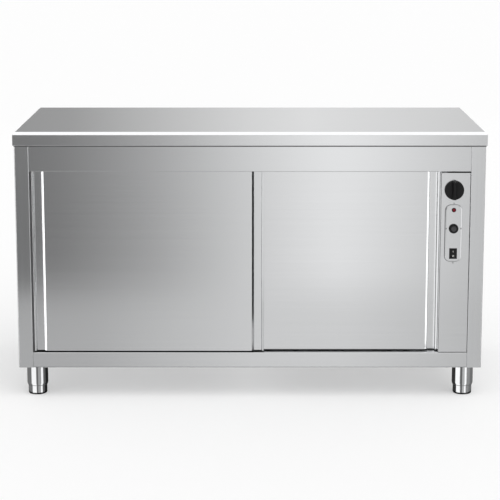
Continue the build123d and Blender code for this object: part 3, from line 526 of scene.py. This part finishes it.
def make_foot_shadow_rings():
    """Black ring at the mouth of each foot's sleeve: painted shade for the dark line at the split
    between sleeve and foot.
    """
    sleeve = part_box("foot_sleeves")
    low, high = sleeve[0][2] - SHADOW_RING_HEIGHT * MM, sleeve[0][2] + SHADOW_RING_TUCK * MM
    vertices, faces = [], []
    for foot in ("front_left", "front_right", "rear_left", "rear_right"):
        x, y, _ = centre(f"foot_{foot}")
        left, right = (corner[0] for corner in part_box(f"foot_{foot}"))
        mouth = sleeve[1][0] - abs(x) - SHADOW_RING_INSET * MM
        bore = (right - left) / 2 + SHADOW_RING_CLEARANCE * MM
        section = [(bore, high), (bore, low), (mouth - SHADOW_RING_TAPER * MM, low), (mouth, high)]
        rows = []
        for turn in turns_round(ROUND_SIDES):
            across, ahead = math.cos(turn), math.sin(turn)
            rows.append([(x + r * across, y + r * ahead, level) for r, level in section])
        ring_vertices, ring_faces = loft(rows, closed_rows=True)
        faces += [tuple(i + len(vertices) for i in face) for face in ring_faces]
        vertices += ring_vertices
    add_piece("foot_shadow_rings", vertices, faces, "cabinet", "black_rubber", smooth=True)


GRIP_EDGE = 38.5  # the grip's inner edge, from the door's side
GRIP_REST = 9.6  # the grip's floor, behind the door's face
LIP_BACK = 1.5  # how far a lip's strip reaches into the lip
SKIN_GAP = 0.02
END_GAP = 1.2
# sections of the strips along the lips: (distance from the door's side, depth behind its face)
LIP_BEAD = [(1.8, 0.0), (2.5, -0.067), (3.2, -0.09), (3.9, -0.067), (4.6, 0.0)]
FRONT_LIP_STRIP = [(0.8, 0.0), (5.6, -0.26), (5.8, 0.0)]
REAR_LIP_STRIP = [(0.3, -0.24), (1.9, -0.35), (6.3, 0.0)]
# door, edge, width and drop of the grip's sloping strip, section of the strip along the lip
GRIPS = [
    ("left", "left", 5.0, 1.8, LIP_BEAD),
    ("left", "right", 5.6, 4.6, FRONT_LIP_STRIP),
    ("right", "left", 5.0, 1.8, LIP_BEAD),
    ("right", "right", 4.8, 1.8, REAR_LIP_STRIP),
]


def door_strip(door, edge, kind, section):
    """A strip up a door: its section runs from the door's side inward and from its face back."""
    low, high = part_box(f"{door}_door_skin")
    start, way = (low[0], 1) if edge == "left" else (high[0], -1)
    outline = [(start + way * x * MM, low[1] + y * MM) for x, y in section]
    levels = (low[2] + END_GAP * MM, high[2] - END_GAP * MM)
    name = f"{door}_door_{edge}_{kind}_strip"
    bar_piece(name, outline, levels, f"{door}_door", "polished_steel")


def make_grips():
    """Sloping strip along each grip's inner edge and a raised strip along each lip."""
    for door, edge, width, drop, section in GRIPS:
        grip = [(0.9, SKIN_GAP), (-width, drop), (-width - 0.5, GRIP_REST), (-1.0, 1.7)]
        grip = [(GRIP_EDGE + x, y) for x, y in grip]
        lip = [(x, y - SKIN_GAP) for x, y in section]
        lip += [(section[-1][0], LIP_BACK), (section[0][0], LIP_BACK)]
        # the right edge is the left one's mirror image, so one outline of each pair turns round
        (grip if edge == "left" else lip).reverse()
        door_strip(door, edge, "grip", grip)
        door_strip(door, edge, "lip", lip)


PLATE_SHADOW_WIDTH = 1.3
PLATE_SHADOW_TAPER = 0.2
PLATE_SHADOW_INSIDE = 1.5  # under the plate's edge
# moves the ring to the left, so that its painted shade is widest on the plate's left edge
PLATE_SHADOW_SHIFT = 0.7
PLATE_SHADOW_PROUD = 0.5
PLATE_SHADOW_CORNER_STEPS = 6
PLATE_CORNER = 18.0


def make_plate_shadow_ring():
    """Thin black ring round the control plate, set off to the left: painted shade for the dark line
    at the plate's edge, widest on its left.
    """
    low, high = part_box("control_plate")
    x, _, z = centre("control_plate")
    x -= PLATE_SHADOW_SHIFT * MM
    wide, tall = (high[0] - low[0]) / 2, (high[2] - low[2]) / 2
    corners = [(wide, tall, 0), (-wide, tall, 90), (-wide, -tall, 180), (wide, -tall, 270)]
    radius = PLATE_CORNER * MM
    section = [
        (-PLATE_SHADOW_INSIDE, 0.0),
        (PLATE_SHADOW_WIDTH, 0.0),
        (PLATE_SHADOW_WIDTH - PLATE_SHADOW_TAPER, PLATE_SHADOW_PROUD),
        (-PLATE_SHADOW_INSIDE, PLATE_SHADOW_PROUD),
    ]
    rows = []
    for across, up, turn in round_corners(corners, radius, PLATE_SHADOW_CORNER_STEPS):
        row = []
        for out, proud in section:
            reach = radius + out * MM
            side, height = across + reach * math.cos(turn), up + reach * math.sin(turn)
            row.append((x + side, high[1] - proud * MM, z + height))
        rows.append(row)
    add_piece("plate_shadow_ring", *loft(rows, closed_rows=True), "cabinet", "black_rubber")


# profiles of turned pieces: (radius, distance to the front)
DOME_PROFILE = [(4.7, -0.3), (4.6, 0.3), (4.0, 0.8), (2.9, 1.2), (1.6, 1.45), (0.4, 1.5)]
CROWN_PROFILE = [
    (8.4, -0.2), (8.3, 0.3), (7.9, 0.6), (7.2, 0.6), (6.6, 0.3), (4.0, 0.15), (0.4, 0.1),
]
RIVET_PROFILE = [(1.9, -0.4), (1.8, 0.3), (1.3, 0.8), (0.3, 1.0)]
RIVET_REACH = 23.4  # on each side of the button


def make_lamp(plate_face):
    """The lamp's bezel and the dome over its lens."""
    x, _, z = centre("indicator_lamp")
    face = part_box("indicator_lamp")[0][1]
    out = (plate_face - face) / MM
    bezel = [(7.1, 0.0), (7.0, 1.3), (6.5, 2.3), (5.6, out - 0.1)]
    bezel += [(4.9, out), (4.8, 1.5), (6.0, 0.0)]
    place = (x, plate_face, z)
    turned("lamp_bezel", place, bezel, "cabinet", "black_plastic", ring=True)
    turned("lamp_dome", (x, face, z), DOME_PROFILE, "cabinet", "red_lens")


def make_button_crown():
    """The raised rim on the push button."""
    x, _, z = centre("push_button")
    place = (x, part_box("push_button")[0][1], z)
    turned("button_crown", place, CROWN_PROFILE, "push_button", "motor_black")


def make_plate_rivets(plate_face):
    """A rivet on each side of the push button."""
    x, _, z = centre("push_button")
    for name, side in (("left", -1), ("right", 1)):
        place = (x + side * RIVET_REACH * MM, plate_face, z)
        turned(
            f"plate_rivet_{name}", place, RIVET_PROFILE, "cabinet", "motor_black", sides=RIVET_SIDES
        )


POINTER_SPAN = (28.7, 29.4)  # above the knob's middle
POINTER_WIDTH = 2.6
ROCKER_BAR_SPAN = (4.5, 9.5)  # above the rocker's middle
ROCKER_BAR_WIDTH = 1.1
ROCKER_RING_DROP = 7.0
ROCKER_RING_RADIUS = 2.3
ROCKER_RING_WIDTH = 0.9
SCREW_GAP = 4.5  # above and below the control plate
RECESS_REACH = 1.9
RECESS_WIDTH = 0.7


def make_marks():
    """The knob's pointer, the rocker's I and O, and black crosses on the plate's screws: painted
    shade in their recesses.
    """
    x, _, z = centre("thermostat_knob")
    low, high = (z + level * MM for level in POINTER_SPAN)
    pointer = [bar_mark(x, low, high, POINTER_WIDTH * MM)]
    inlay("knob_pointer", "thermostat_knob", "thermostat_knob", pointer)
    x, _, z = centre("rocker")
    low, high = (z + level * MM for level in ROCKER_BAR_SPAN)
    ring_level, ring_radius = z - ROCKER_RING_DROP * MM, ROCKER_RING_RADIUS * MM
    bar = bar_mark(x, low, high, ROCKER_BAR_WIDTH * MM)
    ring = ring_mark(x, ring_level, ring_radius, ROCKER_RING_WIDTH * MM)
    inlay("rocker_marks", "rocker", "rocker", [bar, ring])
    low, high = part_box("control_plate")
    x = centre("control_plate")[0]
    recess_shades = []
    for z in (low[2] - SCREW_GAP * MM, high[2] + SCREW_GAP * MM):
        recess_shades += cross_marks(x, z, RECESS_REACH * MM, RECESS_WIDTH * MM)
    # black crosses on the screw heads: painted shade of their recesses
    inlay("screw_recess_shade", "case_screws", "cabinet", recess_shades, slot="black_plastic")


def make_controls():
    """All the trim of the control plate."""
    plate_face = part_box("control_plate")[0][1]
    make_lamp(plate_face)
    make_button_crown()
    make_plate_shadow_ring()
    make_plate_rivets(plate_face)
    make_marks()


# ------------------------------------------------------------------- stage

FLOOR_REACH = 60.0
FLOOR_DROP = 0.0004
FLOOR_WHITE = 0.97
STUDIO_WHITE = 0.985
WHITE_SHARE = 0.36  # of the floor's look that is plain white
WORLD_LIGHT = 0.72
SUN_LIGHT = 1.15
SUN_ANGLE = 70
SUN_DIRECTION = (-0.35, 0.55, -1.0)


def plain_grey(level):
    """A grey without a tint."""
    return (level, level, level, 1)


def stage_mesh(name, vertices, faces):
    """A mesh for the studio."""
    made = new_object(name, vertices, faces)
    return made


def plane(name, corners):
    """A flat sheet of the studio."""
    return stage_mesh(name, corners, [tuple(range(len(corners)))])


def calculate(tree, operation, *values):
    """A Math node on numbers or sockets."""
    node = tree.nodes.new("ShaderNodeMath")
    node.operation = operation
    for socket, value in zip(node.inputs, values):
        if isinstance(value, (int, float)):
            socket.default_value = value
        else:
            tree.links.new(value, socket)
    return node.outputs[0]


def seen_rays(tree):
    """1 for camera, glossy and transmission rays, else 0."""
    path = tree.nodes.new("ShaderNodeLightPath")
    total = path.outputs["Is Camera Ray"]
    for name in ("Is Glossy Ray", "Is Transmission Ray"):
        total = calculate(tree, "MAXIMUM", total, path.outputs[name])
    return total


def make_floor():
    """White paper that keeps the cabinet's shadow."""
    reach = FLOOR_REACH
    square = [(-reach, -reach), (reach, -reach), (reach, reach), (-reach, reach)]
    floor = plane("floor", [(x, y, -FLOOR_DROP) for x, y in square])
    material = bpy.data.materials.new("floor_paper")
    material.use_nodes = True
    tree = material.node_tree
    shader = tree.nodes["Principled BSDF"]
    shader.inputs["Base Color"].default_value = plain_grey(FLOOR_WHITE)
    shader.inputs["Roughness"].default_value = 0.9
    shader.inputs["Specular IOR Level"].default_value = 0.1
    glow = tree.nodes.new("ShaderNodeEmission")
    glow.inputs["Color"].default_value = plain_grey(STUDIO_WHITE)
    share = calculate(tree, "MULTIPLY", seen_rays(tree), WHITE_SHARE)
    mix = tree.nodes.new("ShaderNodeMixShader")
    tree.links.new(share, mix.inputs[0])
    tree.links.new(shader.outputs[0], mix.inputs[1])
    tree.links.new(glow.outputs[0], mix.inputs[2])
    tree.links.new(mix.outputs[0], tree.nodes["Material Output"].inputs["Surface"])
    floor.data.materials.append(material)
    floor.visible_glossy = False  # metal mirrors the sheets below it and the world instead


def make_world():
    """A white world that lights the object more softly than it shows."""
    world = bpy.data.worlds.new("studio")
    world.use_nodes = True
    tree = world.node_tree
    background = tree.nodes["Background"]
    background.inputs["Color"].default_value = plain_grey(STUDIO_WHITE)
    level = tree.nodes.new("ShaderNodeMapRange")
    level.inputs["To Min"].default_value = WORLD_LIGHT
    level.inputs["To Max"].default_value = 1.0
    tree.links.new(seen_rays(tree), level.inputs["Value"])
    tree.links.new(level.outputs["Result"], background.inputs["Strength"])
    bpy.context.scene.world = world


def make_sun():
    """A wide, soft key light from above."""
    data = bpy.data.lights.new("key", "SUN")
    data.energy = SUN_LIGHT
    data.angle = math.radians(SUN_ANGLE)
    key = bpy.data.objects.new("key", data)
    bpy.context.scene.collection.objects.link(key)
    key.rotation_euler = Vector(SUN_DIRECTION).to_track_quat("-Z", "Y").to_euler()
    key.visible_glossy = False


def glow_material(name, shade):
    """An emission whose level comes from shade(tree, position), or from a plain number."""
    material = bpy.data.materials.new(name)
    material.use_nodes = True
    tree = material.node_tree
    tree.nodes.remove(tree.nodes["Principled BSDF"])
    glow = tree.nodes.new("ShaderNodeEmission")
    if callable(shade):
        coordinates = tree.nodes.new("ShaderNodeTexCoord")
        split = tree.nodes.new("ShaderNodeSeparateXYZ")
        tree.links.new(coordinates.outputs["Object"], split.inputs[0])
        tree.links.new(shade(tree, split.outputs), glow.inputs["Color"])
    else:
        glow.inputs["Color"].default_value = plain_grey(shade)
    tree.links.new(glow.outputs[0], tree.nodes["Material Output"].inputs["Surface"])
    return material


def level_ramp(tree, value, stops):
    """Grey levels along a value: stops are (value, level), lowest first."""
    low, high = stops[0][0], stops[-1][0]
    scaled = tree.nodes.new("ShaderNodeMapRange")
    scaled.inputs["From Min"].default_value = low
    scaled.inputs["From Max"].default_value = high
    tree.links.new(value, scaled.inputs["Value"])
    ramp = tree.nodes.new("ShaderNodeValToRGB")
    elements = ramp.color_ramp.elements
    while len(elements) < len(stops):
        elements.new(0.5)
    for element, (position, level) in zip(elements, stops):
        element.position = (position - low) / (high - low)
        element.color = plain_grey(level)
    tree.links.new(scaled.outputs["Result"], ramp.inputs["Fac"])
    return ramp.outputs["Color"]


def fan_shade(stops, start, reach):
    """Shading across the width that fans out from the cabinet, as the camera's lines do."""

    def shade(tree, position):
        away = calculate(tree, "ABSOLUTE", calculate(tree, "SUBTRACT", position["Y"], start))
        fan = calculate(tree, "ADD", calculate(tree, "DIVIDE", away, reach), 1)
        return level_ramp(tree, calculate(tree, "DIVIDE", position["X"], fan), stops)

    return shade


def light_up(card, shade):
    """Makes a sheet glow, for reflections alone."""
    card.data.materials.append(glow_material(card.name, shade))
    card.visible_camera = False
    card.visible_diffuse = False
    card.visible_shadow = False
    card.visible_transmission = False


def studio_card(name, corners, shade):
    """A flat studio sheet that only shows in reflections."""
    light_up(plane(name, corners), shade)


def wall(start, end, low, high):
    """The corners of an upright sheet between two places on the floor plan."""
    return [(*start, low), (*end, low), (*end, high), (*start, high)]


# where the sheets in front and behind start to widen, and how far off they are twice as wide
FRONT_FAN = (-0.35, 5.33)
BACK_FAN = (0.0, 5.68)
FAN_EDGE = 1.25
NEAR_EDGE = 0.92  # narrower, so that the side light reaches the grips
# levels across the sheets: (place across, level)
FAR_LEVELS = [
    (-1.6, 0.12), (-0.62, 0.21), (-0.3, 0.44), (0.0, 0.76), (0.28, 1.02), (0.7, 0.67), (1.6, 0.3),
]
BEYOND_LEVELS = [
    (-1.6, 0.12), (-0.62, 0.22), (-0.3, 0.47), (0.0, 0.81), (0.28, 1.09), (0.7, 0.72), (1.6, 0.32),
]
NEAR_LEVELS = [(-1.3, 0.42), (-0.5, 0.53), (0.0, 0.75), (0.3, 0.77), (0.75, 0.60), (1.3, 0.4)]
BACK_LEVELS = [
    (-1.3, 0.42), (-0.9, 0.31), (-0.6, 0.36), (0.0, 0.75), (0.2, 0.83), (0.6, 0.73), (1.8, 0.35),
]

CARD_FOOT, CARD_HEAD = -6.0, 7.0
FRONT_WALL = -9.0
FRONT_HALF = FAN_EDGE * 2.7
FRONT_BAND = (1.7, 3.3, 0.62)  # a grey band on the white wall: from, up to, level
BAND_PROUD = 0.01
HORIZON = 1.3  # above this the front wall is white
CEILING_LEVEL = 0.88
BACK_WALL = 7.5
BACK_HALF = 8.0
BACK_TOP = 4.2

# the floor in front, in strips from the wall to the cabinet
FLOOR_CARD = -0.002
BEYOND_END = -5.2
NEAR_END = -1.9
SHADE_END = -0.56  # the floor nearer than this lies in shadow
SHADE_START = -0.36
SHADE_EDGE = 2.2
SHADE_LEVEL = 0.08

# what stands round the cabinet, by its bearings from the front, and its level
SURROUNDINGS = [
    ("dark_gap_left", -27.0, -19.0, 0.05),
    ("soft_box_left", -52.0, -27.0, 2.2),
    ("dark_flag_left", -76.0, -52.0, 0.02),
    ("grey_side_left", -129.0, -76.0, 0.36),
    ("dark_gap_right", 20.5, 26.0, 0.5),
    ("soft_edge_right", 26.0, 34.0, 0.85),
    ("soft_box_right", 34.0, 50.0, 1.8),
    ("dark_flag_right", 50.0, 86.0, 0.02),
    ("grey_side_right", 86.0, 129.0, 0.42),
]
ROUND_REACH = 9.4
WINDOW_SPAN = (2.05, 5.5)  # from the middle to each side
WINDOW_DEPTH = 7.3
WINDOW_HEIGHT = (-0.35, 1.35)
WINDOW_LEVEL = 1.5
# a black sheet under the cabinet: painted shadow of the cabinet, as the steel mirrors it
UNDER_SHADE_REACH = 0.69
UNDER_SHADE_TOP = -0.02
UNDER_SHADE_LEVEL = 0.01

# the sheet round the worktop's front bend, in metres and degrees from the front upward
TOP_BEND = 0.010
EDGE_CARD_REACH = 0.016
EDGE_CARD_SPAN = (8.0, 112.0)
EDGE_CARD_LEVEL = 1.3
EDGE_CARD_STEPS = 8

JAMB_CARD = (-7.4, -0.1)  # its sides, from the control bay's side, in mm
JAMB_CARD_GAP = 2.0  # before the control panel's face, in mm
JAMB_CARD_LEVEL = 1.15

# the striped sheet round each front foot, in metres
FOOT_CARD_REACH = 0.052
FOOT_CARD_FOOT = -0.0002
FOOT_CARD_TOP = 0.0965
FOOT_CARD_SIDES = 48
FOOT_BEARING = 7.0  # from which the camera sees each front foot
STRIPE_EDGE = 1.5  # degrees over which one stripe softens into the next
# levels across each front foot as they show, held up to the given distance from its middle in mm
FOOT_STRIPES = {
    "left": [
        (-20.0, 0.21), (-5.0, 1.25), (1.0, 0.17), (8.5, 0.45), (10.5, 0.3), (17.5, 1.25),
        (25.0, 0.14), (40.0, 0.02),
    ],
    "right": [
        (-22.0, 0.04), (-7.4, 1.25), (0.0, 0.14), (7.8, 0.55), (14.0, 1.25), (24.5, 0.32),
        (40.0, 0.2),
    ],
}


def card_ring(place, level):
    """The points of a foot card's rim at a level."""
    x, y = place[0], place[1]
    reach = FOOT_CARD_REACH
    turns = turns_round(FOOT_CARD_SIDES)
    return [(x + reach * math.cos(t), y + reach * math.sin(t), level) for t in turns]


FOOT_SIDE = 0.999  # of the radius, just short of the edge as seen


def stripe_bearing(offset, radius, view):
    """The bearing on a foot card that the foot mirrors at an offset across it, in degrees.

    The camera sees the foot from the bearing view. An offset beyond the foot's side counts as
    its side.
    """
    across = max(-FOOT_SIDE, min(FOOT_SIDE, offset / radius))
    turn = math.asin(across) + math.radians(view)
    out = 2 * turn - math.radians(view)
    return math.degrees(out + math.asin(radius / FOOT_CARD_REACH * math.sin(turn - out)))


def bearing_shade(place, stops):
    """Stripes of light round a place, by bearing."""

    def shade(tree, position):
        across = calculate(tree, "SUBTRACT", position["X"], place[0])
        ahead = calculate(tree, "SUBTRACT", place[1], position["Y"])
        turn = calculate(tree, "ARCTAN2", across, ahead)
        bearing = calculate(tree, "MULTIPLY", turn, 180 / math.pi)
        soft = []
        start = -180
        for end, level in stops:
            soft += [(start + STRIPE_EDGE, level), (end - STRIPE_EDGE, level)]
            start = end
        return level_ramp(tree, bearing, soft)

    return shade


def make_foot_cards(side, view):
    """A striped sheet round a front foot, standing on a black disc."""
    stops = FOOT_STRIPES[side]
    place = centre(f"foot_front_{side}")
    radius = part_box("foot_sleeves")[1][0] - abs(place[0])
    bearings = [(stripe_bearing(end * MM, radius, view), level) for end, level in stops[:-1]]
    bearings.append((180, stops[-1][1]))
    foot, top = (card_ring(place, level) for level in (FOOT_CARD_FOOT, FOOT_CARD_TOP))
    count = len(foot)
    faces = [(i, (i + 1) % count, count + (i + 1) % count, count + i) for i in range(count)]
    card = stage_mesh(f"foot_card_{side}", foot + top, faces)
    light_up(card, bearing_shade(place, bearings))
    studio_card(f"foot_shade_{side}", foot, 0.0)


def make_edge_card():
    """A white sheet bent round the worktop's front bend, which shows as its highlight."""
    low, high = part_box("worktop_skin")
    start, end = EDGE_CARD_SPAN
    rows = []
    for i in range(EDGE_CARD_STEPS + 1):
        turn = math.radians(start + (end - start) * i / EDGE_CARD_STEPS)
        y = low[1] + TOP_BEND - EDGE_CARD_REACH * math.cos(turn)
        rows.append((y, high[2] - TOP_BEND + EDGE_CARD_REACH * math.sin(turn)))
    for i, ((y0, z0), (y1, z1)) in enumerate(zip(rows, rows[1:])):
        corners = [(low[0], y0, z0), (high[0], y0, z0), (high[0], y1, z1), (low[0], y1, z1)]
        studio_card(f"edge_card_{i}", corners, EDGE_CARD_LEVEL)


def make_jamb_card():
    """A white strip before the right door's outer lip, which shows as its highlight."""
    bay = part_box("bay_wall")[0][0]
    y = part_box("control_panel")[0][1] - JAMB_CARD_GAP * MM
    low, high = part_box("base_tray")[1][2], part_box("front_fascia")[0][2]
    left, right = (bay + side * MM for side in JAMB_CARD)
    studio_card("jamb_card", wall((left, y), (right, y), low, high), JAMB_CARD_LEVEL)


def spot(bearing):
    """A place on the floor plan, by its bearing from the front, positive to the right."""
    turn = math.radians(bearing)
    return ROUND_REACH * math.sin(turn), -ROUND_REACH * math.cos(turn)


def sector(y0, y1, edge):
    """The corners of a level sheet in front that widens with the distance."""
    start, reach = FRONT_FAN
    wide0, wide1 = (edge * (1 + abs(y - start) / reach) for y in (y0, y1))
    corners = [(-wide0, y0), (wide0, y0), (wide1, y1), (-wide1, y1)]
    return [(x, y, FLOOR_CARD) for x, y in corners]


def make_front():
    """The wall and the floor before the cabinet, which its front mirrors."""
    left, right = (-FRONT_HALF, FRONT_WALL), (FRONT_HALF, FRONT_WALL)
    beyond = fan_shade(BEYOND_LEVELS, *FRONT_FAN)
    studio_card("front_wall", wall(left, right, CARD_FOOT, HORIZON), beyond)
    studio_card("beyond_floor", sector(FRONT_WALL, BEYOND_END, FAN_EDGE), beyond)
    studio_card("front_white", wall(left, right, HORIZON, CARD_HEAD), CEILING_LEVEL)
    low, high, level = FRONT_BAND
    left, right = ((x, y + BAND_PROUD) for x, y in (left, right))
    studio_card("front_band", wall(left, right, low, high), level)
    front = fan_shade(FAR_LEVELS, *FRONT_FAN)
    studio_card("front_floor", sector(BEYOND_END, NEAR_END, FAN_EDGE), front)
    near = fan_shade(NEAR_LEVELS, *FRONT_FAN)
    studio_card("near_floor", sector(NEAR_END, SHADE_END, NEAR_EDGE), near)
    studio_card("shade_floor", sector(SHADE_END, SHADE_START, SHADE_EDGE), SHADE_LEVEL)


def make_back():
    """The wall behind the cabinet and the ceiling, which the worktop mirrors."""
    left, right = (-BACK_HALF, BACK_WALL), (BACK_HALF, BACK_WALL)
    back = fan_shade(BACK_LEVELS, *BACK_FAN)
    studio_card("back_wall", wall(left, right, CARD_FOOT, BACK_TOP), back)
    front_edge = [(-BACK_HALF, FRONT_WALL, CARD_HEAD), (BACK_HALF, FRONT_WALL, CARD_HEAD)]
    ceiling = front_edge + [(*right, BACK_TOP), (*left, BACK_TOP)]
    studio_card("ceiling", ceiling, CEILING_LEVEL)


def make_surroundings():
    """Soft boxes, flags and windows round the cabinet, and a black sheet under it: painted shadow
    of the cabinet.
    """
    for name, start, end, level in SURROUNDINGS:
        studio_card(name, wall(spot(start), spot(end), CARD_FOOT, CARD_HEAD), level)
    for name, side in (("low_window_left", -1), ("low_window_right", 1)):
        near_edge, far_edge = ((side * x, WINDOW_DEPTH) for x in WINDOW_SPAN)
        studio_card(name, wall(near_edge, far_edge, *WINDOW_HEIGHT), WINDOW_LEVEL)
    studio_card("under_shade", wall((0.0, -UNDER_SHADE_REACH), (0.0, UNDER_SHADE_REACH), CARD_FOOT, UNDER_SHADE_TOP), UNDER_SHADE_LEVEL)


def make_cards():
    """Every sheet that the steel mirrors."""
    make_front()
    make_back()
    make_edge_card()
    make_jamb_card()
    make_foot_cards("left", FOOT_BEARING)
    make_foot_cards("right", -FOOT_BEARING)
    make_surroundings()


bpy.context.scene.view_settings.view_transform = "Standard"
materials = make_materials()
dress_frame(materials)
make_lip_shadow_bead()
make_jambs()
make_grips()
make_foot_shadow_rings()
make_controls()
make_world()
make_floor()
make_sun()
make_cards()
make_camera()
